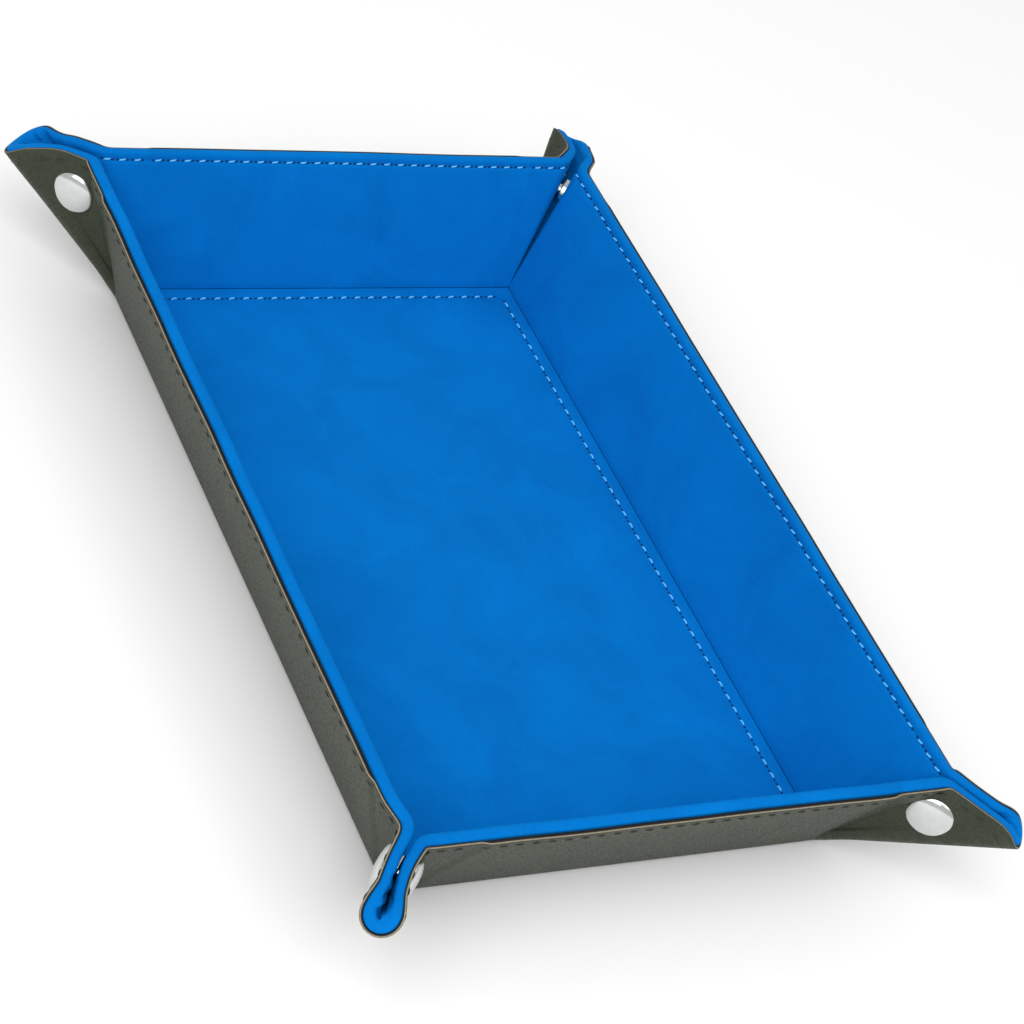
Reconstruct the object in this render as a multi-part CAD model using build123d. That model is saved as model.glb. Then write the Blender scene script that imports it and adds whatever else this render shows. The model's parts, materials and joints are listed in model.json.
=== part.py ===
from build123d import *
import os
from math import acos, asin, atan, cos, degrees, radians, sin, sqrt, tan

# Folding dice tray: a covered, velvet-lined sheet whose four walls stand up when its corners are snapped into ears.
# The tray is drawn flat, as it is cut and sewn, and then folded to its snapped-up shape. The long walls carry the
# ears: each ear is two halves of corner sheet folded on the corner's diagonal, and a small end gusset joins the
# second half to the short wall. Front is -Y, right is +X, up is +Z, and the origin is the middle of the underside.

# Driving dimensions, in millimetres and degrees
floor_width = 124.0  # between the long walls' fold lines, along X
floor_length = 204.0  # between the short walls' fold lines, along Y
wall_height = 40.0  # fold line to rim, measured up the wall's face
wall_tilt = 67.0  # angle between a snapped-up wall and the table
cover_thickness = 1.0
velvet_thickness = 0.8
wall_board_thickness = 1.8
ear_lining_thickness = 2.2  # two plies of velvet with no board between them
ear_half_gap = 0.8  # half of the gap between the velvet faces inside a snapped ear
corner_radius = 8.0  # rounding of the flat sheet's four outer corners
crease_clearance = 0.2  # each sheet stops this far short of its crease line
cover_clearance = 0.15  # what is left between two cover faces at a bend
seam_clearance = 0.4  # each side of the open seam between end gusset and short wall
board_clearance = 0.1  # all round a wall's board, inside its pocket
board_inset = 1.0  # boards stop this far short of the fold lines
board_end_inset = 4.0  # wall boards stop this far short of the floor's corners
ramp_length = 3.0  # where a wall thins down from boarded to unboarded sheet

# Snap fasteners: cap and socket on one half of each ear, cap and stud on the other
snap_from_corner = 33.4  # snap centre to the tray's floor corner
snap_to_fold = 6.8  # snap centre to the ear's fold line
cap_radius = 6.5
cap_rim = 0.5
cap_dome = 1.1
cap_chamfer = 0.3
post_radius = 1.5
post_hole_radius = 1.7
post_clearance = 0.05
flare_radius = 2.1
flare_height = 0.25
flange_radius = 5.2
flange_thickness = 0.35
seat_radius = 5.4
seat_depth = 0.8
socket_radius = 4.2
socket_bore = 2.35
socket_height = 1.2  # above the velvet face
lip_roll = 0.4
stud_neck = 1.85
stud_radius = 2.1
stud_tip_clearance = 0.1  # stud tip to the mating half's velvet face

# Lockstitching
stitch_pitch = 4.5
stitch_length = 2.2
thread_width = 0.6
thread_height = 0.35
rim_stitch_inset = 2.6
floor_stitch_inset = 4.0

# Worked out from the above
wall_thickness = cover_thickness + 2 * velvet_thickness + wall_board_thickness
wall_lining_thickness = wall_thickness - cover_thickness
ear_thickness = cover_thickness + ear_lining_thickness
half_width = floor_width / 2
half_length = floor_length / 2
mitre_angle = degrees(atan(cos(radians(wall_tilt))))  # where an ear leaves its wall, on the flat sheet
mitre_shift = sqrt(2) * ear_half_gap
mitre_reach = wall_height * tan(radians(mitre_angle)) - mitre_shift
ear_fold = degrees(acos(sin(radians(wall_tilt)) / sqrt(2)))  # bend between a wall and its ear half
crease_undercut = ear_thickness * tan(radians(ear_fold / 2)) + cover_clearance
snap_angle = 45 - degrees(asin(snap_to_fold / snap_from_corner))
snap_x = snap_from_corner * cos(radians(snap_angle))
snap_y = snap_from_corner * sin(radians(snap_angle))

on_base = (Align.CENTER, Align.CENTER, Align.MIN)
fold_line = Axis((0, 0, 0), (0, -1, 0))  # of a wall drawn flat, with its rim at +X
diagonal_plane = Plane((0, 0, 0), x_dir=(1, 1, 0), z_dir=(1, -1, 0))


def polygon(*points):
    return make_face(Polyline(*points, close=True))


# A flat sheet with this outline, from `top` to `bottom` below the velvet surface
def layer(outline, top, bottom):
    return extrude(Pos(0, 0, -bottom) * outline, bottom - top)


# A sheet along Y that has other (top, bottom) depths over the wall's board than beyond its ends
def stepped_layer(length, boarded, plain):
    half_board = length / 2 - board_end_inset
    stations = [(length / 2 + wall_height, plain), (half_board + ramp_length, plain), (half_board, boarded)]
    upper = [(-y, -depth[0]) for y, depth in stations] + [(y, -depth[0]) for y, depth in reversed(stations)]
    lower = [(y, -depth[1]) for y, depth in stations] + [(-y, -depth[1]) for y, depth in reversed(stations)]
    return extrude(Plane.YZ * polygon(*upper, *lower), wall_height)


# What lies to the left of the mitre line, which is where a wall and an ear half meet, on a sheet whose floor corner
# is the origin. The cut leans so that the cover faces stay clear of each other when the mitre is folded.
def beyond_mitre():
    block = 4 * wall_height
    lean = degrees(atan((crease_undercut - crease_clearance) / ear_thickness))
    cutter = Rot(-lean, 0, 0) * Pos(0, block / 2, 0) * Box(block, block, block)
    return Pos(0, -mitre_shift, 0) * Rot(0, 0, mitre_angle) * Pos(0, -crease_clearance, 0) * cutter


# What lies to the right of the same line
def before_mitre():
    line = Plane((0, -mitre_shift, 0), x_dir=(0, 0, 1),
                 z_dir=(-sin(radians(mitre_angle)), cos(radians(mitre_angle)), 0))
    return mirror(beyond_mitre(), about=line)


# Separate stitches from start to end, lying at this height above the velvet surface
def stitch_row(start, end, height):
    run = Vector(*end) - Vector(*start)
    count = int(run.length // stitch_pitch)
    row = []
    for i in range(count):
        spot = Vector(*start) + run.normalized() * ((run.length - (count - 1) * stitch_pitch) / 2 + i * stitch_pitch)
        size = (stitch_length, thread_width) if abs(run.X) > abs(run.Y) else (thread_width, stitch_length)
        row.append(Pos(spot.X, spot.Y, height) * Box(*size, thread_height, align=on_base))
    return row


# The flat bottom, with the seam that runs round just inside its fold lines
def floor_pieces():
    sheet = Rectangle(floor_width - 2 * crease_clearance, floor_length - 2 * crease_clearance)
    board = Rectangle(floor_width - 2 * board_inset, floor_length - 2 * board_inset)
    x = half_width - floor_stitch_inset
    y = half_length - floor_stitch_inset
    corners = [(-x, -y), (x, -y), (x, y), (-x, y)]
    seam = []
    for start, end in zip(corners, corners[1:] + corners[:1]):
        seam += stitch_row(start, end, 0)
    return {
        "floor_cover": layer(sheet, wall_lining_thickness, wall_thickness),
        "floor_board": layer(board, velvet_thickness, wall_lining_thickness),
        "floor_lining": layer(sheet, 0, velvet_thickness),
        "floor_stitching": Compound(children=seam),
    }


# One wall, flat, with its fold line on the Y axis and its rim at +X. A wall with ears runs on past the floor's
# corners to the mitres where its ears begin.
def wall_pieces(name, length, has_ears):
    half_sheet = length / 2 + mitre_reach if has_ears else length / 2 - seam_clearance
    outline = Rectangle(wall_height - crease_clearance, 2 * half_sheet, align=(Align.MIN, Align.CENTER))
    sheet = layer(Pos(crease_clearance, 0) * outline, 0, wall_thickness)
    far_end = Pos(0, length / 2, 0) * beyond_mitre()
    sheet -= far_end
    sheet -= mirror(far_end, about=Plane.XZ)
    lining = sheet & stepped_layer(length, (0, wall_lining_thickness), (0, ear_lining_thickness))
    cover = sheet & stepped_layer(length, (wall_lining_thickness, wall_thickness),
                                  (ear_lining_thickness, ear_thickness))

    from_fold = (Align.MIN, Align.CENTER)
    pocket = Rectangle(wall_height - velvet_thickness, length - 2 * board_end_inset, align=from_fold)
    lining -= layer(pocket, velvet_thickness, wall_lining_thickness - velvet_thickness)
    board = Rectangle(wall_height - velvet_thickness - board_inset - board_clearance,
                      length - 2 * board_end_inset - 2 * board_clearance, align=from_fold)
    board = layer(Pos(board_inset, 0) * board, velvet_thickness + board_clearance,
                  wall_lining_thickness - velvet_thickness - board_clearance)

    seam = wall_height - rim_stitch_inset
    on_velvet = length / 2
    on_cover = length / 2 - board_end_inset
    rows = stitch_row((seam, -on_velvet), (seam, on_velvet), 0)
    rows += stitch_row((seam, -on_cover), (seam, on_cover), -wall_thickness - thread_height)
    return {
        f"{name}_cover": cover,
        f"{name}_board": board,
        f"{name}_lining": lining,
        f"{name}_stitching": Compound(children=rows),
    }


# A solid of revolution about Z from an outline of (radius, height) points
def turned(*points):
    return revolve(Plane.XZ * polygon(*points), Axis.Z)


# What a snap takes out of its ear half: the post's hole and the seat that its flange is pressed into
def snap_seat():
    hole = Pos(0, 0, -ear_thickness) * Cylinder(post_hole_radius, ear_thickness, align=on_base)
    seat = Pos(0, 0, -seat_depth) * Cylinder(seat_radius, seat_depth, align=on_base)
    return hole + seat


# A domed cap on the cover's face, with the post that goes through the sheet
def snap_cap(post_top):
    sphere_radius = (cap_radius**2 + cap_dome**2) / (2 * cap_dome)
    rim = -ear_thickness - cap_rim
    dome = Pos(0, 0, rim - cap_dome + sphere_radius) * Sphere(sphere_radius)
    head = Pos(0, 0, rim - cap_dome) * Cylinder(cap_radius, cap_rim + cap_dome, align=on_base)
    head = chamfer(head.edges().sort_by(Axis.Z)[-1], cap_chamfer)
    post = Pos(0, 0, -ear_thickness) * Cylinder(post_radius, post_top + ear_thickness, align=on_base)
    return (head & dome) + post


# The female half of a snap: a pressed cup with a rolled lip on a round flange
def snap_socket():
    bore = post_radius + post_clearance
    flange = flange_thickness - seat_depth
    shoulder = socket_height - lip_roll
    return turned(
        (bore, -seat_depth), (flange_radius, -seat_depth), (flange_radius, flange), (socket_radius, flange),
        (socket_radius, shoulder), (socket_radius - lip_roll, socket_height),
        (socket_bore + lip_roll, socket_height), (socket_bore, shoulder), (socket_bore, flange), (bore, flange),
    )


# The male half: a hollow bulb on a round flange, which enters the socket of the mating half
def snap_stud():
    bore = post_radius + post_clearance
    flange = flange_thickness - seat_depth
    tip = 2 * ear_half_gap - stud_tip_clearance
    return turned(
        (bore, -seat_depth), (flange_radius, -seat_depth), (flange_radius, flange), (stud_neck, flange),
        (stud_neck, tip - 2 * lip_roll), (stud_radius, tip - lip_roll), (post_radius, tip), (0, tip),
        (0, tip - lip_roll), (bore, tip - lip_roll),
    )


# One corner, flat, with the floor's corner at the origin and the sheet's corner at (+X, +Y). The ear's first half
# lies below the diagonal, its flap is the mirror image above it, and the gusset fills up to the short wall.
def corner_pieces(name):
    square = Rectangle(wall_height, wall_height, align=(Align.MIN, Align.MIN))
    square = fillet(square.vertices().sort_by(Axis((0, 0, 0), (1, 1, 0)))[-1], corner_radius)
    edge = crease_clearance * sqrt(2)
    half_square = square & polygon((edge, 0), (wall_height, 0), (wall_height, wall_height - edge))
    triangle = polygon((0, seam_clearance), (wall_height, seam_clearance), (wall_height, wall_height))
    snap = Pos(snap_x, snap_y, 0)
    half = {}
    gusset = {}
    for part, top, bottom in (("cover", ear_lining_thickness, ear_thickness), ("lining", 0, ear_lining_thickness)):
        half[part] = layer(half_square, top, bottom) - before_mitre() - snap * snap_seat()
        gusset[part] = layer(triangle, top, bottom) - beyond_mitre()

    flare = Pos(0, 0, flange_thickness - seat_depth) * Cylinder(flare_radius, flare_height, align=on_base)
    ear = {
        "cover": half["cover"],
        "lining": half["lining"],
        "cap": snap * (snap_cap(flange_thickness - seat_depth) + flare),
        "socket": snap * snap_socket(),
    }
    flap = {
        "cover": half["cover"],
        "lining": half["lining"],
        "cap": snap * snap_cap(0),
        "stud": snap * snap_stud(),
    }
    return {
        f"{name}_ear": ear,
        f"{name}_flap": {part: mirror(solid, about=diagonal_plane) for part, solid in flap.items()},
        f"{name}_gusset": {part: mirror(solid, about=diagonal_plane) for part, solid in gusset.items()},
    }


# A corner folded to its snapped-up shape and placed at the floor's corner on the sides given by the two signs
def folded_corner(name, side_x, side_y):
    mitre = Axis((0, -mitre_shift, 0), (cos(radians(mitre_angle)), sin(radians(mitre_angle)), 0))
    diagonal = Axis((0, 0, ear_half_gap), (1, 1, 0))
    flap_mitre = Axis((-mitre_shift, 0, 0), (sin(radians(mitre_angle)), cos(radians(mitre_angle)), 0))
    with_ear = [(mitre, -ear_fold), (fold_line, wall_tilt)]
    with_flap = [(diagonal, 180)] + with_ear
    folds = {
        f"{name}_ear": with_ear,
        f"{name}_flap": with_flap,
        f"{name}_gusset": [(flap_mitre, -ear_fold)] + with_flap,
    }
    folded = {}
    for group, pieces in corner_pieces(name).items():
        for part, solid in pieces.items():
            for axis, angle in folds[group]:
                solid = solid.rotate(axis, angle)
            solid = Pos(half_width, half_length, wall_thickness) * solid
            if side_x < 0:
                solid = mirror(solid, about=Plane.YZ)
            if side_y < 0:
                solid = mirror(solid, about=Plane.XZ)
            folded[f"{group}_{part}"] = solid
    return folded


# A wall folded up on its fold line, which lies `distance` from the middle of the floor
def folded_wall(name, length, distance, heading, has_ears):
    folded = {}
    for node, solid in wall_pieces(name, length, has_ears).items():
        solid = solid.rotate(fold_line, wall_tilt)
        folded[node] = Rot(0, 0, heading) * Pos(distance, 0, wall_thickness) * solid
    return folded


nodes = {node: Pos(0, 0, wall_thickness) * solid for node, solid in floor_pieces().items()}
nodes |= folded_wall("right_wall", floor_length, half_width, 0, True)
nodes |= folded_wall("back_wall", floor_width, half_length, 90, False)
nodes |= folded_wall("left_wall", floor_length, half_width, 180, True)
nodes |= folded_wall("front_wall", floor_width, half_length, -90, False)
nodes |= folded_corner("front_left", -1, -1)
nodes |= folded_corner("front_right", 1, -1)
nodes |= folded_corner("back_left", -1, 1)
nodes |= folded_corner("back_right", 1, 1)

os.makedirs("parts", exist_ok=True)
for node, solid in nodes.items():
    export_step(solid, f"parts/{node}.step")
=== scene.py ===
import json
import bpy
import numpy as np
from math import acos, atan, cos, degrees, exp, pi, radians, sin, sqrt
from mathutils import Matrix, Vector, noise


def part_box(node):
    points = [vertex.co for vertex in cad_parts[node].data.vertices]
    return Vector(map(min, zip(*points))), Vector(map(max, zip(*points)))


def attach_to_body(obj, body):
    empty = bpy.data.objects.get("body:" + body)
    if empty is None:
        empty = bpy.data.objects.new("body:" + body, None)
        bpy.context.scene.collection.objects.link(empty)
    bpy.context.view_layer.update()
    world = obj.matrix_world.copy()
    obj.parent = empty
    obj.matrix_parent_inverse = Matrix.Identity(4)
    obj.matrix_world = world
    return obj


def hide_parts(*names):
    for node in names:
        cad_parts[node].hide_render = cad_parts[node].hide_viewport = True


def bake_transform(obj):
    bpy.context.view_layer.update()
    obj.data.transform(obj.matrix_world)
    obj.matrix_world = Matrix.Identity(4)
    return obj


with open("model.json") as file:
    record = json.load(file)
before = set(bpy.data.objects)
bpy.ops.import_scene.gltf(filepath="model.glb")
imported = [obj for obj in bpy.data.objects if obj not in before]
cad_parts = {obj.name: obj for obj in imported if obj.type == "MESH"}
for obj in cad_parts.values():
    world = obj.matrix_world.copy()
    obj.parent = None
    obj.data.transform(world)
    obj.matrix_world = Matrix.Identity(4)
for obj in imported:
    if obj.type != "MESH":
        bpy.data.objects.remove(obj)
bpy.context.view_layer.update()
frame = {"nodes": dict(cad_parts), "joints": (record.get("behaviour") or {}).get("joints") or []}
joints = {joint["name"]: joint for joint in frame["joints"]}

# millimetres are used while a shape is worked out, and metres once it is a mesh
mm = 0.001
halfWidth = joints["right_wall_fold"]["pos_m"][0] / mm  # floor middle to the long walls' folds
halfLength = joints["back_wall_fold"]["pos_m"][1] / mm  # floor middle to the short walls' folds
velvetHeight = joints["right_wall_fold"]["pos_m"][2] / mm
tilt = radians(joints["right_wall_fold"]["range_deg"][1])
wallHeight = (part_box("right_wall_lining")[1].z / mm - velvetHeight) / sin(tilt)
corners = {"frontLeft": (-1, -1), "frontRight": (1, -1), "backLeft": (-1, 1), "backRight": (1, 1)}
cadName = {name: name.replace("L", "_l").replace("R", "_r") for name in corners}

sheet = {
    "boardedThickness": 4.4,
    "plainThickness": 3.8,
    "snapThickness": 3.2,
    "lining": 3.0,
    "snapLining": 2.5,
    "cover": 0.7,
    "boardEnd": 4.0,  # floor corner to the end of a wall's board
    "ramp": 3.5,  # over which the board's thickness runs out
    "roundCorner": 8.0,  # of the flat sheet's corners
    "wrap": 5.1,  # of a wall's cover round its fold
    "rimStitch": 2.6,  # rim to the seam on the velvet
    "floorStitch": 4.0,  # fold to the floor's seam
    "stitchPitch": 4.5,
}


def smooth(x):
    x = min(max(x, 0.0), 1.0)
    return x * x * (3 - 2 * x)


# camera

camera = {
    "place": (-410.4, -457.3, 525.4),
    "turn": (47.55, -20.114, -23.598),
    "lens": 105.3,
    "sensor": 36,
    "shift": (0.0596, -0.0251),
}


def addCamera():
    bpy.ops.object.select_all(action="DESELECT")
    place = [x * mm for x in camera["place"]]
    bpy.ops.object.camera_add(location=place, rotation=[radians(a) for a in camera["turn"]])
    view = bpy.context.object
    view.data.lens = camera["lens"]
    view.data.sensor_width = camera["sensor"]
    view.data.shift_x, view.data.shift_y = camera["shift"]
    view.data.clip_start = 0.01
    bpy.context.scene.camera = view


# shared shader groups

def newGroup(name, inputs, outputs):
    tree = bpy.data.node_groups.new(name, "ShaderNodeTree")
    for label, kind, value in inputs:
        socket = tree.interface.new_socket(name=label, in_out="INPUT", socket_type="NodeSocket" + kind)
        if value is not None:
            socket.default_value = value
    for label, kind in outputs:
        tree.interface.new_socket(name=label, in_out="OUTPUT", socket_type="NodeSocket" + kind)
    return tree, tree.nodes.new("NodeGroupInput"), tree.nodes.new("NodeGroupOutput")


def addNode(tree, kind, values=None, **settings):
    node = tree.nodes.new("ShaderNode" + kind)
    for key, value in settings.items():
        setattr(node, key, value)
    for key, value in (values or {}).items():
        if isinstance(value, bpy.types.NodeSocket):
            tree.links.new(value, node.inputs[key])
        else:
            node.inputs[key].default_value = value
    return node


def mathNode(tree, operation, a, b=0.0):
    return addNode(tree, "Math", {0: a, 1: b}, operation=operation).outputs[0]


def mixColours(tree, amount, a, b, blendType="MIX"):
    node = tree.nodes.new("ShaderNodeMix")
    node.data_type = "RGBA"
    node.blend_type = blendType
    for key, value in ((0, amount), (6, a), (7, b)):
        if isinstance(value, bpy.types.NodeSocket):
            tree.links.new(value, node.inputs[key])
        else:
            node.inputs[key].default_value = value
    return node.outputs[2]


# short pile: fine fibre speckle, soft patches where the nap lies another way
def makePileGroup():
    tree, given, made = newGroup("pile", [("Vector", "Vector", None), ("Patch", "Float", 0.5)],
                                 [("Fibre", "Float"), ("Nap", "Float"), ("Height", "Float")])
    place = given.outputs[0]
    fine = addNode(tree, "TexNoise", {"Vector": place, "Scale": 2600.0, "Detail": 3.0, "Roughness": 0.7})
    tuft = addNode(tree, "TexNoise", {"Vector": place, "Scale": 900.0, "Detail": 2.0, "Roughness": 0.6})
    broad = addNode(tree, "TexNoise", {"Vector": place, "Scale": 38.0, "Detail": 4.0, "Roughness": 0.62,
                                       "Distortion": 0.6})
    both = mathNode(tree, "ADD", mathNode(tree, "MULTIPLY", fine.outputs[0], 0.6),
                    mathNode(tree, "MULTIPLY", tuft.outputs[0], 0.4))
    nap = mathNode(tree, "MULTIPLY", mathNode(tree, "SUBTRACT", broad.outputs[0], 0.5), given.outputs[1])
    tree.links.new(both, made.inputs[0])
    tree.links.new(nap, made.inputs[1])
    tree.links.new(both, made.inputs[2])
    return tree


# pebbled grain of an embossed leathercloth
def makeGrainGroup():
    tree, given, made = newGroup("grain", [("Vector", "Vector", None), ("Scale", "Float", 1500.0)],
                                 [("Height", "Float"), ("Valley", "Float"), ("Shade", "Float")])
    warp = addNode(tree, "TexNoise", {"Vector": given.outputs[0], "Scale": 500.0, "Detail": 2.0})
    moved = addNode(tree, "VectorMath", {0: warp.outputs[1], 1: (0.0008,) * 3}, operation="MULTIPLY")
    place = addNode(tree, "VectorMath", {0: given.outputs[0], 1: moved.outputs[0]}, operation="ADD")
    pebble = addNode(tree, "TexVoronoi", {"Vector": place.outputs[0], "Scale": given.outputs[1],
                                          "Randomness": 0.9}, feature="SMOOTH_F1")
    pebble.inputs["Smoothness"].default_value = 0.35
    crack = addNode(tree, "MapRange", {0: pebble.outputs["Distance"], 1: 0.35, 2: 0.75})
    patches = addNode(tree, "TexNoise", {"Vector": given.outputs[0], "Scale": 60.0, "Detail": 5.0,
                                         "Roughness": 0.65})
    height = mathNode(tree, "SUBTRACT", 1.0, crack.outputs[0])
    tree.links.new(height, made.inputs[0])
    tree.links.new(crack.outputs[0], made.inputs[1])
    tree.links.new(patches.outputs[0], made.inputs[2])
    return tree


def newMaterial(name):
    material = bpy.data.materials.new(name)
    material.use_nodes = True
    return material, material.node_tree, material.node_tree.nodes["Principled BSDF"]


velvet = {
    "deep": (0.0, 0.108, 0.385, 1),
    "lit": (0.0, 0.195, 0.63, 1),
    "sheenTint": (0.0, 0.38, 1.0, 1),
    "sheen": 0.35,
    "bump": 0.3,
}


def makeVelvet():
    material, tree, shader = newMaterial("blueVelvet")
    place = addNode(tree, "UVMap", uv_map="sheet")
    pile = tree.nodes.new("ShaderNodeGroup")
    pile.node_tree = pileGroup
    pile.inputs["Patch"].default_value = 0.9
    tree.links.new(place.outputs[0], pile.inputs[0])
    tone = mathNode(tree, "ADD", mathNode(tree, "MULTIPLY", pile.outputs["Fibre"], 0.7), pile.outputs["Nap"])
    shader.inputs["Roughness"].default_value = 0.95
    shader.inputs["Specular IOR Level"].default_value = 0.05
    shader.inputs["Sheen Weight"].default_value = velvet["sheen"]
    shader.inputs["Sheen Roughness"].default_value = 0.45
    shader.inputs["Sheen Tint"].default_value = velvet["sheenTint"]
    tree.links.new(mixColours(tree, tone, velvet["deep"], velvet["lit"]), shader.inputs["Base Color"])
    bump = addNode(tree, "Bump", {"Height": pile.outputs["Height"], "Strength": velvet["bump"],
                                  "Distance": 0.0003})
    tree.links.new(bump.outputs[0], shader.inputs["Normal"])
    return material


leather = {
    "dark": (0.020, 0.025, 0.015, 1),
    "light": (0.050, 0.062, 0.039, 1),
    "bump": 0.28,
}


def makeLeather():
    material, tree, shader = newMaterial("oliveLeathercloth")
    place = addNode(tree, "UVMap", uv_map="sheet")
    grain = tree.nodes.new("ShaderNodeGroup")
    grain.node_tree = grainGroup
    grain.inputs["Scale"].default_value = 1500.0
    tree.links.new(place.outputs[0], grain.inputs[0])
    colour = mixColours(tree, grain.outputs["Shade"], leather["dark"], leather["light"])
    sunk = mathNode(tree, "MULTIPLY", grain.outputs["Valley"], 0.45)
    colour = mixColours(tree, sunk, colour, leather["dark"])
    tree.links.new(colour, shader.inputs["Base Color"])
    rough = mathNode(tree, "ADD", mathNode(tree, "MULTIPLY", grain.outputs["Valley"], 0.18), 0.46)
    tree.links.new(rough, shader.inputs["Roughness"])
    shader.inputs["Specular IOR Level"].default_value = 0.2
    bump = addNode(tree, "Bump", {"Height": grain.outputs["Height"], "Strength": leather["bump"],
                                  "Distance": 0.00015})
    tree.links.new(bump.outputs[0], shader.inputs["Normal"])
    return material


def makeRawEdge():
    material, tree, shader = newMaterial("rawEdge")
    place = addNode(tree, "TexCoord")
    lint = addNode(tree, "TexNoise", {"Vector": place.outputs["Object"], "Scale": 1400.0, "Detail": 4.0})
    colour = mixColours(tree, lint.outputs[0], (0.13, 0.105, 0.065, 1), (0.36, 0.30, 0.21, 1))
    tree.links.new(colour, shader.inputs["Base Color"])
    shader.inputs["Roughness"].default_value = 0.85
    bump = addNode(tree, "Bump", {"Height": lint.outputs[0], "Strength": 0.4, "Distance": 0.0002})
    tree.links.new(bump.outputs[0], shader.inputs["Normal"])
    return material


# near-black painted shade for the narrow gap between the lining's rim and the cover, put on the cover's
# inner faces and cut ends
def makeGapShade():
    material, tree, shader = newMaterial("paintedGapShade")
    place = addNode(tree, "TexCoord")
    lint = addNode(tree, "TexNoise", {"Vector": place.outputs["Object"], "Scale": 900.0, "Detail": 3.0})
    colour = mixColours(tree, lint.outputs[0], (0.002, 0.003, 0.005, 1), (0.010, 0.012, 0.014, 1))
    tree.links.new(colour, shader.inputs["Base Color"])
    shader.inputs["Roughness"].default_value = 0.9
    return material


def makeThread(name, dark, light):
    material, tree, shader = newMaterial(name)
    place = addNode(tree, "TexCoord")
    strand = addNode(tree, "TexNoise", {"Vector": place.outputs["Object"], "Scale": 3000.0, "Detail": 2.0})
    tree.links.new(mixColours(tree, strand.outputs[0], dark, light), shader.inputs["Base Color"])
    shader.inputs["Roughness"].default_value = 0.55
    shader.inputs["Specular IOR Level"].default_value = 0.2
    bump = addNode(tree, "Bump", {"Height": strand.outputs[0], "Strength": 0.5, "Distance": 0.0001})
    tree.links.new(bump.outputs[0], shader.inputs["Normal"])
    return material


def makeNickel():
    material, tree, shader = newMaterial("polishedNickel")
    place = addNode(tree, "TexCoord")
    haze = addNode(tree, "TexNoise", {"Vector": place.outputs["Object"], "Scale": 260.0, "Detail": 5.0})
    colour = mixColours(tree, haze.outputs[0], (0.52, 0.54, 0.53, 1), (0.70, 0.72, 0.71, 1))
    tree.links.new(colour, shader.inputs["Base Color"])
    shader.inputs["Metallic"].default_value = 1.0
    rough = addNode(tree, "MapRange", {0: haze.outputs[0], 3: 0.10, 4: 0.22})
    tree.links.new(rough.outputs[0], shader.inputs["Roughness"])
    return material


def makeBoard():
    material, tree, shader = newMaterial("greyCard")
    place = addNode(tree, "TexCoord")
    fleck = addNode(tree, "TexNoise", {"Vector": place.outputs["Object"], "Scale": 700.0, "Detail": 6.0})
    colour = mixColours(tree, fleck.outputs[0], (0.20, 0.18, 0.15, 1), (0.42, 0.39, 0.34, 1))
    tree.links.new(colour, shader.inputs["Base Color"])
    shader.inputs["Roughness"].default_value = 0.9
    return material


# meshes

# a closed solid through rings of points, with one material index for each strip between ring points
def solidFromRings(name, rings, sheetMap, strips, materials, capMaterial=0):
    count, around, _ = rings.shape
    points = rings.reshape(-1, 3) * mm
    faces, fills = [], []
    for i in range(count - 1):
        for j in range(around):
            k = (j + 1) % around
            faces.append((i * around + j, i * around + k, (i + 1) * around + k, (i + 1) * around + j))
            fills.append(strips[j])
    faces.append(tuple(range(around)))
    faces.append(tuple(range((count - 1) * around, count * around)))
    fills += [capMaterial, capMaterial]
    mesh = bpy.data.meshes.new(name)
    mesh.from_pydata(points.tolist(), [], faces)
    places = sheetMap.reshape(-1, 2) * mm
    layer = mesh.uv_layers.new(name="sheet")
    for loop in mesh.loops:
        layer.data[loop.index].uv = places[loop.vertex_index]
    for material in materials:
        mesh.materials.append(material)
    mesh.polygons.foreach_set("material_index", fills)
    piece = bpy.data.objects.new(name, mesh)
    bpy.context.scene.collection.objects.link(piece)
    tidyMesh(piece)
    return piece


def tidyMesh(piece, angle=40):
    bpy.ops.object.select_all(action="DESELECT")
    bpy.context.view_layer.objects.active = piece
    piece.select_set(True)
    bpy.ops.object.mode_set(mode="EDIT")
    bpy.ops.mesh.select_all(action="SELECT")
    bpy.ops.mesh.normals_make_consistent(inside=False)
    bpy.ops.object.mode_set(mode="OBJECT")
    bpy.ops.object.shade_smooth_by_angle(angle=radians(angle))


# the sheet's cross-sections, as (distance up from the fold, depth below the velvet face)

liningShape = {
    "foldRound": 0.12,
    "rimRound": 1.15,
    "backRound": 0.9,
    "seamDip": 0.28,
    "seamHalf": 1.1,
    "floorDip": 0.22,
    "floorHalf": 1.2,
    "floorDepth": 3.3,  # the floor's padding goes down past its board
}


def liningSection(depth):
    shape = liningShape
    low, high, back = shape["foldRound"], shape["rimRound"], shape["backRound"]
    points = [(0.0, low), (low * 0.35, low * 0.3), (low, 0.0)]
    points += [(a, 0.0) for a in np.linspace(2.5, wallHeight - 5.5, 12)]
    for step in np.linspace(-1.6, 1.3, 9):
        dip = shape["seamDip"] * exp(-((step / shape["seamHalf"]) ** 2) * 2.5)
        points.append((wallHeight - sheet["rimStitch"] + step, dip))
    for k in range(1, 7):
        turn = radians(15 * k)
        points.append((wallHeight - high + high * sin(turn), high - high * cos(turn)))
    for k in range(0, 6):
        turn = radians(18 * k)
        points.append((wallHeight - back + back * cos(turn), depth - back + back * sin(turn)))
    points += [(wallHeight - 5, depth), (wallHeight / 2, depth), (3.0, depth), (0.3, depth)]
    return points


coverShape = {
    "rawEdge": 0.32,  # how much of the rim shows the cloth's backing
    "edgeDrop": 0.25,
    "lipDrop": 1.4,
    "play": 0.05,  # between the lining's back and the cover
}


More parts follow.
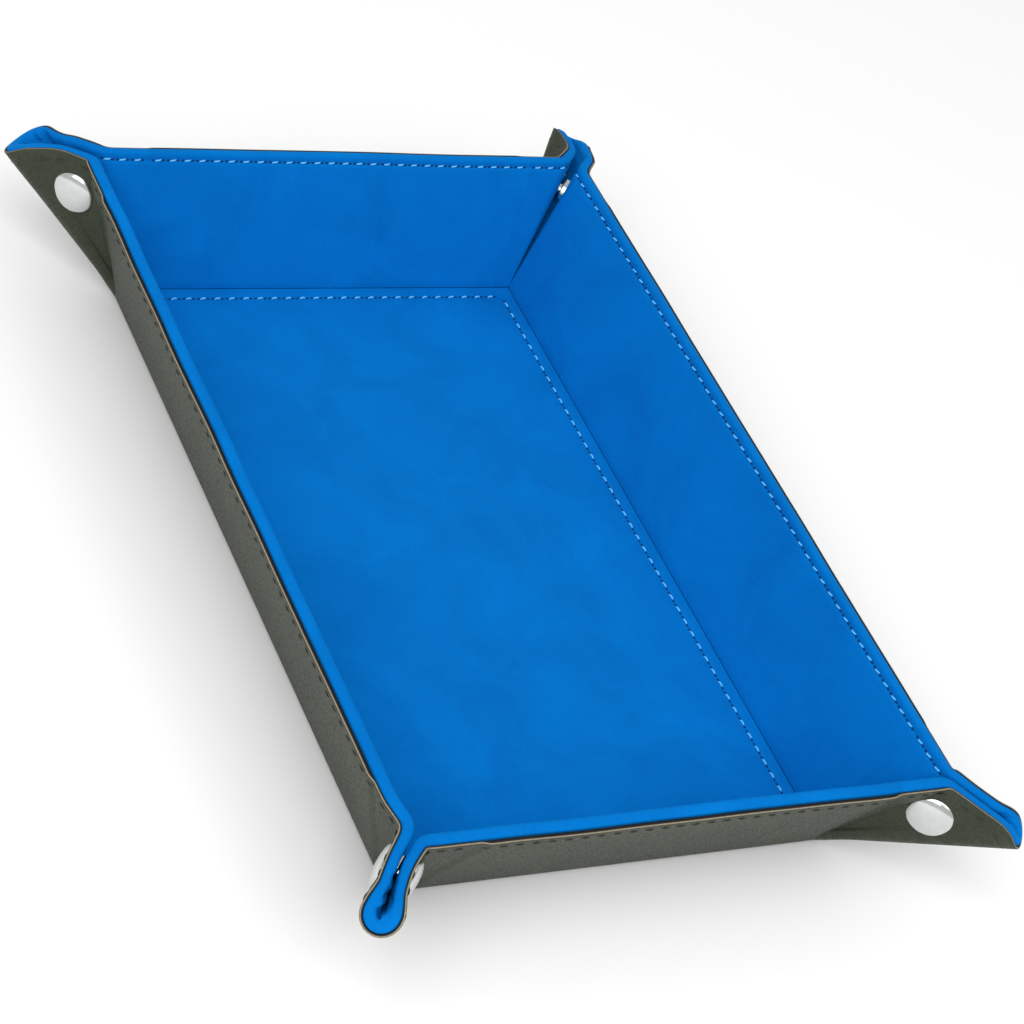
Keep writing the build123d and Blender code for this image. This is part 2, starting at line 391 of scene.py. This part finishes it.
# the cover wraps round the fold on `arc`, or starts at the floor's corner when there is none
def coverSection(thickness, liningDepth, arc):
    full, lip = sheet["boardedThickness"], sheet["cover"]

    def outer(a):
        return thickness + (full - thickness) * (1 - smooth(a / 8))

    edge = wallHeight - coverShape["edgeDrop"]
    low = wallHeight - coverShape["lipDrop"]
    inner = liningDepth + coverShape["play"]
    points, fills = [], []
    if arc:
        for turn in np.linspace(tilt, 0, 11)[:-1]:
            points.append((-full * sin(turn), full * cos(turn)))
            fills.append(0)
    for a in [*np.linspace(0.0, wallHeight - 5, 14), wallHeight - 3.6, wallHeight - 2.6, low]:
        points.append((a, outer(a)))
        fills.append(0)
    points += [(edge - 0.12, thickness), (edge, thickness - 0.1),
               (edge, thickness - 0.1 - coverShape["rawEdge"]), (edge, thickness - lip),
               (low, thickness - lip), (low, inner), (0.0, inner)]
    # index 2 is the cover's inner faces, coloured with the near-black painted gap shade
    fills += [0, 1, 2, 2, 2, 2, 2]
    if arc:
        for turn in np.linspace(0, tilt, 7)[1:]:
            points.append((-inner * sin(turn), inner * cos(turn)))
            fills.append(2)
    return points, fills


# straight walls

def boarded(y, half):
    return 1 - smooth((abs(y) - (half - sheet["boardEnd"])) / sheet["ramp"])


def wallStations(half):
    inside = list(np.arange(-half + 8, half - 7.9, 3.0))
    ends = [half - a for a in (0, 0.7, 1.4, 2.1, 2.8, 3.5, 4.2, 5.0, 6.5)]
    return sorted([-a for a in ends] + inside + ends)


# a slow unevenness along a wall, in the wall's own directions
def wander(y, seed, size):
    return size * noise.noise(Vector((y / 26.0, seed * 7.3, 0.0)))


def wallRings(half, reach, seed, sections):
    slope = np.array([cos(tilt), 0, sin(tilt)])
    out = np.array([sin(tilt), 0, -cos(tilt)])
    rings, places = [], []
    for y in wallStations(half):
        hold = 1 - smooth((abs(y) - half + 10) / 10)
        bow = wander(y, seed, 0.35) * hold
        lift = wander(y, seed + 3, 0.22) * hold
        section = sections(boarded(y, half))
        ring = []
        for a, h in section:
            share = max(a, 0) / wallHeight
            base = np.array([reach, y, velvetHeight])
            ring.append(base + slope * (a + lift * share) + out * (h + bow * share * share))
        rings.append(ring)
        places.append([(reach + a + h, y) for a, h in section])
    return np.array(rings), np.array(places)


def turnAbout(rings, heading):
    c, s = round(cos(radians(heading))), round(sin(radians(heading)))
    x, y = rings[..., 0].copy(), rings[..., 1].copy()
    rings[..., 0], rings[..., 1] = x * c - y * s, x * s + y * c
    return rings


walls = {
    "right": {"half": halfLength, "reach": halfWidth, "heading": 0, "seed": 1},
    "back": {"half": halfWidth, "reach": halfLength, "heading": 90, "seed": 2},
    "left": {"half": halfLength, "reach": halfWidth, "heading": 180, "seed": 3},
    "front": {"half": halfWidth, "reach": halfLength, "heading": 270, "seed": 4},
}


def mixed(plain, full, share):
    return plain + (full - plain) * share


def addWall(side):
    wall = walls[side]
    body = f"{side}_wall"

    def lining(_):
        return liningSection(sheet["lining"])

    def cover(share):
        thickness = mixed(sheet["plainThickness"], sheet["boardedThickness"], share)
        return coverSection(thickness, sheet["lining"], True)[0]

    rings, places = wallRings(wall["half"], wall["reach"], wall["seed"], lining)
    strips = [0] * rings.shape[1]
    turnedRings = turnAbout(rings, wall["heading"])
    piece = solidFromRings(f"{side}WallLining", turnedRings, places, strips, [velvetFinish])
    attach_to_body(piece, body)
    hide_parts(f"{body}_lining")

    rings, places = wallRings(wall["half"], wall["reach"], wall["seed"], cover)
    strips = coverSection(sheet["boardedThickness"], sheet["lining"], True)[1]
    piece = solidFromRings(f"{side}WallCover", turnAbout(rings, wall["heading"]), places, strips,
                           [leatherFinish, edgeFinish, gapShadeFinish], 2)
    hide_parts(f"{body}_cover")
    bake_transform(piece)


def addFloor():
    rings, places = [], []
    edge, depth = liningShape["foldRound"], liningShape["floorDepth"]
    halfX = halfWidth
    clear = sheet["floorStitch"] - 1.5  # the seam's groove stops here, short of the folds
    inner = np.concatenate([np.linspace(-halfLength + 0.6, -halfLength + 7, 14), np.linspace(-94, 94, 40),
                            np.linspace(halfLength - 7, halfLength - 0.6, 14)])
    for y in [-halfLength, -halfLength + 0.1, -halfLength + edge, *inner,
              halfLength - edge, halfLength - 0.1, halfLength]:
        near = halfLength - abs(y)
        drop = edge if near < 0.05 else edge * 0.3 if near < 0.15 else 0.0
        ring = [(-halfX, -edge), (-halfX + 0.1, -edge * 0.3), (-halfX + edge, 0.0)]
        ring += [(x, 0.0) for x in np.linspace(-halfX + 0.6, -halfX + 7, 14)]
        ring += [(x, 0.0) for x in np.linspace(-52, 52, 26)]
        ring += [(x, 0.0) for x in np.linspace(halfX - 7, halfX - 0.6, 14)]
        ring += [(halfX - edge, 0.0), (halfX - 0.1, -edge * 0.3), (halfX, -edge)]
        ring += [(halfX, -depth), (-halfX, -depth)]
        shape = []
        for x, z in ring:
            dip = 0.0
            if z == 0.0:
                inX = (abs(x) - (halfWidth - sheet["floorStitch"])) / liningShape["floorHalf"]
                inY = (near - sheet["floorStitch"]) / liningShape["floorHalf"]
                if near > clear and halfWidth - abs(x) > clear:
                    dip = liningShape["floorDip"] * max(exp(-inX * inX), exp(-inY * inY))
            shape.append((x, y, velvetHeight + min(z, -drop if z > -1 else z) - dip))
        rings.append(shape)
        places.append([(x, y) for x, z in ring])
    rings = np.array(rings)
    strips = [0] * rings.shape[1]
    piece = solidFromRings("floorLining", rings, np.array(places), strips, [velvetFinish])
    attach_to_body(piece, "base")
    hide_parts("floor_lining", "floor_board")

    rings, places = [], []
    for y in (-halfLength, halfLength):
        ring = [(-halfWidth, 0.0), (halfWidth, 0.0), (halfWidth, 1.0), (-halfWidth, 1.0)]
        rings.append([(x, y, z) for x, z in ring])
        places.append([(x, y) for x, z in ring])
    # the floor cover's sides and ends take the near-black painted gap shade
    piece = solidFromRings("floorCover", np.array(rings), np.array(places), [0, 2, 2, 2],
                           [leatherFinish, edgeFinish, gapShadeFinish], 2)
    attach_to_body(piece, "base")
    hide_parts("floor_cover")


# corners: from the floor's corner the sheet fans out as a cone, whose rays turn along a smooth curve

# angles in degrees, the rest in millimetres; pairs are for the long wall's half and the short wall's;
# shift is outward, up and across
earFold = {
    "frontLeft": {"mainHalf": (8.5, 5.0), "bulge": (10.0, 0.0), "tipHalf": 4.0, "gap": 0.35,
                  "crumple": 1.1, "flare": (0.0, 0.3), "shift": (1.2, -0.8, 1.9)},
    "frontRight": {"mainHalf": (5.0, 5.0), "bulge": (0.0, 0.0), "tipHalf": 3.5, "gap": 0.4,
                   "crumple": 0.7, "flare": (0.0, 0.0), "shift": (1.3, 0.2, 0.1)},
    "backLeft": {"mainHalf": (4.0, 8.0), "bulge": (0.0, 0.0), "tipHalf": 8.0, "gap": 1.1,
                 "crumple": 1.5, "flare": (0.7, 2.7), "shift": (0.0, -2.6, -1.9)},
    "backRight": {"mainHalf": (5.0, 5.0), "bulge": (0.0, 0.0), "tipHalf": 5.5, "gap": 1.2,
                  "crumple": 0.6, "flare": (0.4, 0.3), "shift": (-0.9, -0.4, 6.6)},
}
# angles are from the long wall, in degrees
fan = {
    "bulgeAt": 6.0,
    "spreadAt": 37.0,
    "spreadHalf": 3.0,
    "step": 0.125,
    "bendAt": 19.5,  # crease between the wall and the ear
    "rimSeamTo": 21.0,
    "snapAngle": 33.25,
    "snapReach": 33.4,  # floor corner to the snap
    "plateFrom": 27.5,
    "plateTo": 39.2,
    "bendBlend": 3.0,  # half the width in which a crease bends
    "tipBlend": 1.3,
}
# across a corner's middle plane, from the long wall to the short one, and along it
across = np.array([-1.0, 1.0, 0.0]) / sqrt(2)
outward = np.array([1.0, 1.0, 0.0]) / sqrt(2)


def hump(angle, middle, half):
    x = (angle - middle) / half
    return 0.5 * (1 + cos(pi * x)) / half if abs(x) < 1 else 0.0


# the curve in small steps: `ray` points from the floor's corner, `side` along, `out` to the cover
def walkFan(bends, steps):
    step = radians(fan["step"])
    ray = np.array([cos(tilt), 0, sin(tilt)])
    side = np.array([0.0, 1.0, 0.0])
    out = np.array([sin(tilt), 0, -cos(tilt)])
    found = [(ray, side, out)]
    for i in range(steps):
        at = (i + 0.5) * step
        turn = sum(bend * hump(at, middle, half) for bend, middle, half in bends) * step / 2
        side, out = side * cos(turn) + out * sin(turn), out * cos(turn) - side * sin(turn)
        ray, side = ray * cos(step) + side * sin(step), side * cos(step) - ray * sin(step)
        side, out = side * cos(turn) + out * sin(turn), out * cos(turn) - side * sin(turn)
        found.append((ray, side, out))
    return found


# finds the bends that bring the halves together at the snap and close the loop on the middle plane
def solveHalf(ear, side):
    mainHalf, bulge = ear["mainHalf"][side], ear["bulge"][side]
    last = round(45 / fan["step"])
    atSnap = round(fan["snapAngle"] / fan["step"])
    gap = ear["gap"] / fan["snapReach"]

    def curve(x):
        return walkFan([
            (x[1], x[0], radians(mainHalf)),
            (-radians(bulge), radians(fan["bulgeAt"]), radians(fan["bulgeAt"])),
            (x[2], radians(fan["spreadAt"]), radians(fan["spreadHalf"])),
            (x[3], pi / 4, radians(ear["tipHalf"])),
        ], last)

    def miss(x):
        found = curve(x)
        snap, tip = found[atSnap], found[-1]
        return np.array([across @ snap[0] + gap, across @ snap[1], across @ tip[0], across @ tip[2]])

    x = np.radians([20.0, 50.0 + bulge, 6.0, -190.0])
    small = 1e-4
    for _ in range(8):
        now = miss(x)
        slope = np.array([(miss(x + nudge) - now) / small for nudge in np.eye(4) * small]).T
        x = x - np.clip(np.linalg.solve(slope, now), -0.25, 0.25)
    return curve(x)


# lifts the end of a half curve in the middle plane, so that both halves meet
def lifted(half, lift):
    raised = []
    for i, directions in enumerate(half):
        turn = Matrix.Rotation(lift * smooth((i * fan["step"] - 30) / 15), 3, Vector(-across))
        raised.append(tuple(np.array(turn @ Vector(v)) for v in directions))
    return raised


def solveFan(ear):
    halves = [solveHalf(ear, side) for side in (0, 1)]
    heights = [atan(half[-1][0][2] / (half[-1][0] @ outward)) for half in halves]
    middle = sum(heights) / 2
    longHalf, shortHalf = (lifted(half, middle - height) for half, height in zip(halves, heights))
    swapped = [(r[[1, 0, 2]], -s[[1, 0, 2]], o[[1, 0, 2]]) for r, s, o in shortHalf[-2::-1]]
    return longHalf + swapped


# distance from the floor's corner to the flat sheet's edge, at an angle from the long wall
def edgeReach(angle):
    a = min(angle, pi / 2 - angle)
    straight = wallHeight / cos(a)
    middle = wallHeight - sheet["roundCorner"]
    along = middle * (cos(a) + sin(a))
    inside = along * along - 2 * middle * middle + sheet["roundCorner"] ** 2
    if straight * sin(a) > middle and inside > 0:
        return along + sqrt(inside)
    return straight


def earDepths(angle):
    a = degrees(min(angle, pi / 2 - angle))
    atSnap = smooth((a - 14) / (fan["snapAngle"] - 16)) * (1 - smooth((a - 36.5) / 5))
    thickness = mixed(sheet["plainThickness"], sheet["snapThickness"], atSnap)
    return thickness, mixed(sheet["lining"], sheet["snapLining"], atSnap)


# a point of a corner's sheet at a step of its curve, `a` up from the fold and `h` below the velvet face
def cornerPoint(curve, ear, i, a, h):
    angle = i * fan["step"]
    ray, _, out = curve[i]
    r = edgeReach(radians(angle)) * max(a, 0.4) / wallHeight
    near = min(angle, 90 - angle)
    beyond = smooth((near - 28) / 17) * r / 50
    away, up, over = ear["shift"]
    moved = (outward * away + np.array([0, 0, up]) + across * over) * beyond
    side = 0 if angle < 45 else 1
    apart = smooth((near - 32) / 7) * (1 - smooth((near - 41.5) / 3.5)) * smooth((r - 34) / 14)
    moved = moved + across * (ear["flare"][side] * apart * (2 * side - 1))
    return np.array([halfWidth, halfLength, velvetHeight]) + ray * r + out * h + moved


def crumpled(ear, angle, a):
    window = exp(-((angle - 45) / 9) ** 2) * smooth(a / wallHeight)
    wave = noise.noise(Vector((angle * 0.36, a * 0.09, ear["seed"] * 3.1)))
    fine = noise.noise(Vector((angle * 0.9, a * 0.22, ear["seed"] * 5.7)))
    return ear["crumple"] * window * (0.25 + 1.5 * wave + 0.6 * fine)


def cornerRings(curve, ear, first, last, sections, soft):
    low, high = round(first / fan["step"]), round(last / fan["step"])
    picks = [i for i in range(low, high + 1)
             if i in (low, high) or (i - low) % (2 if abs(i * fan["step"] - 45) < 8 else 6) == 0]
    rings, places = [], []
    for i in picks:
        angle = i * fan["step"]
        thickness, depth = earDepths(radians(angle))
        ring, place = [], []
        for a, h in sections(thickness, depth):
            push = crumpled(ear, angle, a) if soft and h < 0.5 else 0.0
            ring.append(cornerPoint(curve, ear, i, a, h - push))
            r = edgeReach(radians(angle)) * max(a, 0.4) / wallHeight
            place.append((halfWidth + r * cos(radians(angle)) + h, halfLength + r * sin(radians(angle))))
        rings.append(ring)
        places.append(place)
    return np.array(rings), np.array(places)


# stitches

stitch = {
    "velvetLength": 2.0,
    "coverLength": 2.8,
    "radius": 0.27,
    "rise": 0.2,
    "slant": 0.16,
    "coverSlant": 0.05,
    "coverInset": 3.0,  # rim to the seam on the cover
    "velvetSink": -0.2,
    "floorSink": -0.16,
    "coverSink": -0.12,
    # share of the length, share of the rise, share of the radius
    "profile": ((0, -0.25, 0.4), (0.1, 0.1, 0.85), (0.35, 1, 1), (0.65, 1, 1), (0.9, 0.1, 0.85),
                (1, -0.25, 0.4)),
}


# one stitch's rings, from one place on the sheet's face to another
def stitchRings(start, end, face, slant):
    along = end - start
    length = np.linalg.norm(along)
    along = along / length
    face = face - along * (face @ along)
    face = face / np.linalg.norm(face)
    over = np.cross(face, along)
    rings = []
    for share, lift, thick in stitch["profile"]:
        middle = (start + along * length * share + face * stitch["rise"] * lift
                  + over * (share - 0.5) * slant * length)
        rings.append([middle + (face * sin(t) + over * cos(t)) * stitch["radius"] * thick
                      for t in np.linspace(0, 2 * pi, 7)[:-1]])
    return rings


# a needle hole between two stitches: a small disc on the sheet, coloured dark with painted shade
def holeRings(middle, along, face):
    over = np.cross(face, along)
    return [[middle + face * height + (along * cos(t) * 0.62 + over * sin(t) * 0.36) * size
             for t in np.linspace(0, 2 * pi, 9)[:-1]]
            for height, size in ((-0.1, 1.0), (0.035, 0.9), (0.05, 0.5))]


def addSeam(name, stitches, holes, threadFinish):
    points, faces, fills = [], [], []
    for fill, group in ((0, stitches), (1, holes)):
        for rings in group:
            around, base = len(rings[0]), len(points)
            points += [tuple(p * mm) for ring in rings for p in ring]
            for i in range(len(rings) - 1):
                for j in range(around):
                    k = (j + 1) % around
                    faces.append((base + i * around + j, base + i * around + k,
                                  base + (i + 1) * around + k, base + (i + 1) * around + j))
            faces.append(tuple(base + j for j in range(around)))
            faces.append(tuple(base + (len(rings) - 1) * around + j for j in range(around)))
            fills += [fill] * ((len(rings) - 1) * around + 2)
    mesh = bpy.data.meshes.new(name)
    mesh.from_pydata(points, [], faces)
    for material in (threadFinish, holeShadeFinish):
        mesh.materials.append(material)
    mesh.polygons.foreach_set("material_index", fills)
    piece = bpy.data.objects.new(name, mesh)
    bpy.context.scene.collection.objects.link(piece)
    tidyMesh(piece, 60)
    return piece


# stitches along a line of (place, face direction) samples
def sewn(samples, length, slant, lift, margin=0.6):
    places = np.array([place for place, _ in samples])
    faces = np.array([face for _, face in samples])
    run = np.concatenate([[0], np.cumsum(np.linalg.norm(np.diff(places, axis=0), axis=1))])

    def spot(s):
        return (np.array([np.interp(s, run, places[:, k]) for k in range(3)]),
                np.array([np.interp(s, run, faces[:, k]) for k in range(3)]))

    count = int((run[-1] - 2 * margin) // sheet["stitchPitch"])
    first = (run[-1] - count * sheet["stitchPitch"]) / 2
    stitches, holes = [], []
    for i in range(count):
        s = first + (i + 0.5) * sheet["stitchPitch"]
        start, end, face = spot(s - length / 2)[0], spot(s + length / 2)[0], spot(s)[1]
        stitches.append(stitchRings(start + face * lift, end + face * lift, face, slant))
        if length == stitch["velvetLength"]:
            for side in (-1, 1):
                place, face = spot(s + side * (length / 2 + 0.45))
                along = (end - start) / np.linalg.norm(end - start)
                holes.append(holeRings(place + face * lift, along, face / np.linalg.norm(face)))
    return stitches, holes


def turned(samples, heading, flip=(1, 1, 1)):
    spin = np.array(Matrix.Rotation(radians(heading), 3, "Z"))
    flip = np.array(flip)
    return [(spin @ (place * flip), spin @ (face * flip)) for place, face in samples]


def wallLine(half, reach, a, h, outside, seed):
    slope = np.array([cos(tilt), 0, sin(tilt)])
    out = np.array([sin(tilt), 0, -cos(tilt)])
    samples = []
    for y in np.arange(-half, half + 0.1, 1.0):
        hold = 1 - smooth((abs(y) - half + 10) / 10)
        share = a / wallHeight
        depth = h(boarded(y, half)) + wander(y, seed, 0.35) * hold * share * share
        lift = wander(y, seed + 3, 0.22) * hold * share
        place = np.array([reach, y, velvetHeight]) + slope * (a + lift) + out * depth
        samples.append((place, out if outside else -out))
    return samples


def addSeams():
    for side, wall in walls.items():
        inset = wallHeight - sheet["rimStitch"]
        line = wallLine(wall["half"], wall["reach"], inset, lambda share: 0.0, False, wall["seed"])
        found = sewn(turned(line, wall["heading"]), stitch["velvetLength"], stitch["slant"],
                     stitch["velvetSink"])
        piece = addSeam(f"{side}WallRimSeam", *found, lightThread)
        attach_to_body(piece, f"{side}_wall")
        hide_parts(f"{side}_wall_stitching")
        outer = wallLine(wall["half"], wall["reach"], wallHeight - stitch["coverInset"],
                         lambda share: mixed(sheet["plainThickness"], sheet["boardedThickness"], share),
                         True, wall["seed"])
        found = sewn(turned(outer, wall["heading"]), stitch["coverLength"], stitch["coverSlant"],
                     stitch["coverSink"])
        piece = addSeam(f"{side}WallCoverSeam", *found, darkThread)
        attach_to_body(piece, f"{side}_wall")
    insetX, insetY = halfWidth - sheet["floorStitch"], halfLength - sheet["floorStitch"]
    ends = [(-insetX, -insetY), (insetX, -insetY), (insetX, insetY), (-insetX, insetY)]
    up = np.array([0, 0, 1.0])
    stitches, holes = [], []
    for (x0, y0), (x1, y1) in zip(ends, ends[1:] + ends[:1]):
        line = [(np.array([x, y, velvetHeight]), up) for x, y in ((x0, y0), (x1, y1))]
        more = sewn(line, stitch["velvetLength"], stitch["slant"], stitch["floorSink"])
        stitches += more[0]
        holes += more[1]
    piece = addSeam("floorSeam", stitches, holes, lightThread)
    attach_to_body(piece, "base")
    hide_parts("floor_stitching")


def cornerLine(curve, ear, first, last, a, outside):
    samples = []
    for i in range(round(first / fan["step"]), round(last / fan["step"]) + 1, 4):
        thickness, _ = earDepths(radians(i * fan["step"]))
        place = cornerPoint(curve, ear, i, a, thickness if outside else 0.0)
        samples.append((place, curve[i][2] if outside else -curve[i][2]))
    return samples


# snap caps

# profile as (radius, height)
snapCap = {
    "profile": ((0, 1.5), (1.4, 1.46), (2.8, 1.32), (4.0, 1.08), (5.0, 0.74), (5.8, 0.34), (6.3, -0.08),
                (6.5, -0.5), (6.45, -0.75), (6.1, -0.85), (0, -0.85)),
    "steps": 48,
    "stand": 0.35,  # the brim's height above the cover
}


def addCap(name, place, out):
    bpy.ops.object.select_all(action="DESELECT")
    mesh = bpy.data.meshes.new(name)
    outline = snapCap["profile"]
    points = [(r * mm, 0, z * mm) for r, z in outline]
    mesh.from_pydata(points, [(i, i + 1) for i in range(len(outline) - 1)], [])
    piece = bpy.data.objects.new(name, mesh)
    bpy.context.scene.collection.objects.link(piece)
    bpy.context.view_layer.objects.active = piece
    piece.select_set(True)
    bpy.ops.object.mode_set(mode="EDIT")
    bpy.ops.mesh.select_all(action="SELECT")
    bpy.ops.mesh.spin(steps=snapCap["steps"], angle=2 * pi, center=(0, 0, 0), axis=(0, 0, 1))
    bpy.ops.mesh.select_all(action="SELECT")
    bpy.ops.mesh.remove_doubles(threshold=1e-6)
    bpy.ops.mesh.normals_make_consistent(inside=False)
    bpy.ops.object.mode_set(mode="OBJECT")
    bpy.ops.object.shade_smooth_by_angle(angle=radians(60))
    turn = Vector(out).to_track_quat("Z", "Y").to_matrix().to_4x4()
    mesh.transform(Matrix.Translation(Vector(place) * mm) @ turn)
    mesh.materials.append(nickelFinish)
    return piece


# the cover's round corner under the floor's corner, where the two walls' folds and the ear meet
def addHeel(name, curve, flip):
    down = np.array([0, 0, -1.0])
    rings, places = [], []
    for i in range(0, len(curve), 24):
        out = curve[i][2]
        span = acos(min(1.0, max(-1.0, float(out @ down))))
        arc = [(down * sin((1 - t) * span) + out * sin(t * span)) / sin(span) for t in np.linspace(0, 1, 9)]
        ring = [v * (sheet["boardedThickness"] - 0.03) for v in arc] + [v * 3.4 for v in arc[::-1]]
        rings.append([np.array([halfWidth, halfLength, velvetHeight]) + v for v in ring])
        places.append([(halfWidth + i * 0.05, halfLength + k * 0.5) for k in range(len(ring))])
    rings = np.array(rings) * flip
    piece = solidFromRings(f"{name}Heel", rings, np.array(places), [0] * rings.shape[1], [leatherFinish])
    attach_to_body(piece, "base")


def addCorner(name):
    ear = dict(earFold[name], seed=list(corners).index(name) + 1)
    signX, signY = corners[name]
    cad = cadName[name]
    longWall = "right_wall" if signX > 0 else "left_wall"
    curve = solveFan(ear)
    flip = np.array([signX, signY, 1.0])
    vertex = Vector((halfWidth * signX, halfLength * signY, velvetHeight)) * mm
    middleWay = Vector(across * flip)

    # a stretch that bends has a crease given about a point 30 mm up it or the floor's corner; the crease is
    # not used, and such a stretch is only baked in place
    bend, back = (curve[round(angle / fan["step"])] for angle in (fan["bendAt"], 90 - fan["bendAt"]))
    bendCentre, backCentre = (vertex + Vector(at[0] * flip) * 0.03 for at in (bend, back))
    bendWay, backWay = Vector(bend[1] * flip), Vector(back[1] * flip)
    earBody, flapBody = f"{cad}_ear", f"{cad}_flap"
    low, high, wide = fan["plateFrom"], fan["plateTo"], fan["bendBlend"]
    stretches = [
        ("Bend", 0.0, low, (longWall, earBody), (bendCentre, bendWay, wide)),
        ("Ear", low, high, (earBody,), None),
        ("Tip", high, 90 - high, (earBody, flapBody), (vertex, middleWay, fan["tipBlend"])),
        ("Flap", 90 - high, 90 - low, (flapBody,), None),
        ("Gusset", 90 - low, 90.0, (flapBody, f"{cad}_gusset"), (backCentre, backWay, wide)),
    ]

    def attach(piece, bodies, crease):
        if crease is None:
            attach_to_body(piece, bodies[0])
            return
        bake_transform(piece)

    for part, first, last, bodies, crease in stretches:
        for layer in ("Lining", "Cover"):
            if layer == "Lining":
                rings, places = cornerRings(curve, ear, first, last, lambda _, d: liningSection(d), True)
                strips, finishes, cap = [0] * rings.shape[1], [velvetFinish], 0
            else:
                rings, places = cornerRings(curve, ear, first, last,
                                            lambda t, d: coverSection(t, d, False)[0], False)
                strips = coverSection(sheet["plainThickness"], sheet["lining"], False)[1]
                finishes, cap = [leatherFinish, edgeFinish, gapShadeFinish], 2
            piece = solidFromRings(f"{name}{part}{layer}", rings * flip, places, strips, finishes, cap)
            attach(piece, bodies, crease)
            if part in ("Ear", "Flap", "Gusset"):
                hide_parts(f"{cad}_{part.lower()}_{layer.lower()}")
        line = cornerLine(curve, ear, first, last, wallHeight - stitch["coverInset"], True)
        found = sewn(turned(line, 0, flip), stitch["coverLength"], stitch["coverSlant"],
                     stitch["coverSink"], 0.0)
        piece = addSeam(f"{name}{part}CoverSeam", *found, darkThread)
        attach(piece, bodies, crease)
        if part in ("Bend", "Gusset"):
            span = (first, fan["rimSeamTo"]) if part == "Bend" else (90 - fan["rimSeamTo"], last)
            line = cornerLine(curve, ear, *span, wallHeight - sheet["rimStitch"], False)
            found = sewn(turned(line, 0, flip), stitch["velvetLength"], stitch["slant"],
                         stitch["velvetSink"], 0.0)
            piece = addSeam(f"{name}{part}RimSeam", *found, lightThread)
            attach(piece, bodies, crease)

    for node, angle in (("ear", fan["snapAngle"]), ("flap", 90 - fan["snapAngle"])):
        i = round(angle / fan["step"])
        thickness, _ = earDepths(radians(angle))
        share = fan["snapReach"] * wallHeight / edgeReach(radians(angle))
        place = cornerPoint(curve, ear, i, share, thickness + snapCap["stand"])
        piece = addCap(f"{name}{node.title()}Cap", place * flip, curve[i][2] * flip)
        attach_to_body(piece, f"{cad}_{node}")
        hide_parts(f"{cad}_{node}_cap")
    addHeel(name, curve, flip)


# stage

studio = {
    "world": 0.68,
    "lights": (((-0.9, -0.7, 1.3), 1.4, 21), ((0.3, -1.0, 1.3), 1.2, 5)),  # place, size, watts
}


def addStage():
    bpy.ops.mesh.primitive_plane_add(size=6, location=(0, 0, -0.0002))
    floorSheet = bpy.context.object
    floorSheet.name = "paleTable"
    material, _, shader = newMaterial("paleTable")
    shader.inputs["Base Color"].default_value = (0.9, 0.9, 0.9, 1)
    shader.inputs["Roughness"].default_value = 0.7
    floorSheet.data.materials.append(material)
    world = bpy.data.worlds.new("studio")
    bpy.context.scene.world = world
    world.use_nodes = True
    world.node_tree.nodes["Background"].inputs[0].default_value = (1, 1, 1, 1)
    world.node_tree.nodes["Background"].inputs[1].default_value = studio["world"]
    for place, size, power in studio["lights"]:
        bpy.ops.object.light_add(type="AREA", location=place)
        light = bpy.context.object
        light.data.size = size
        light.data.energy = power
        light.rotation_euler = (-Vector(place)).to_track_quat("-Z", "Y").to_euler()


addCamera()
bpy.context.scene.view_settings.view_transform = "Standard"
print("camera placed")
pileGroup = makePileGroup()
grainGroup = makeGrainGroup()
velvetFinish = makeVelvet()
leatherFinish = makeLeather()
edgeFinish = makeRawEdge()
gapShadeFinish = makeGapShade()
nickelFinish = makeNickel()
boardFinish = makeBoard()
lightThread = makeThread("blueThread", (0.06, 0.36, 0.80, 1), (0.14, 0.60, 0.95, 1))
darkThread = makeThread("oliveThread", (0.008, 0.009, 0.006, 1), (0.05, 0.055, 0.04, 1))
# dark navy painted shade for the needle holes
holeShadeFinish = makeThread("needleHoleShade", (0.0, 0.02, 0.09, 1), (0.0, 0.04, 0.17, 1))
print("finishes made")
for side in walls:
    addWall(side)
addFloor()
print("floor and walls made")
for name in corners:
    addCorner(name)
print("corners made")
addSeams()
print("seams made")
for node, piece in frame["nodes"].items():
    if piece.hide_render:
        continue
    kind = node.rsplit("_", 1)[1]
    finish = {"board": boardFinish, "stitching": lightThread}.get(kind, nickelFinish)
    piece.data.materials.clear()
    piece.data.materials.append(finish)
addStage()
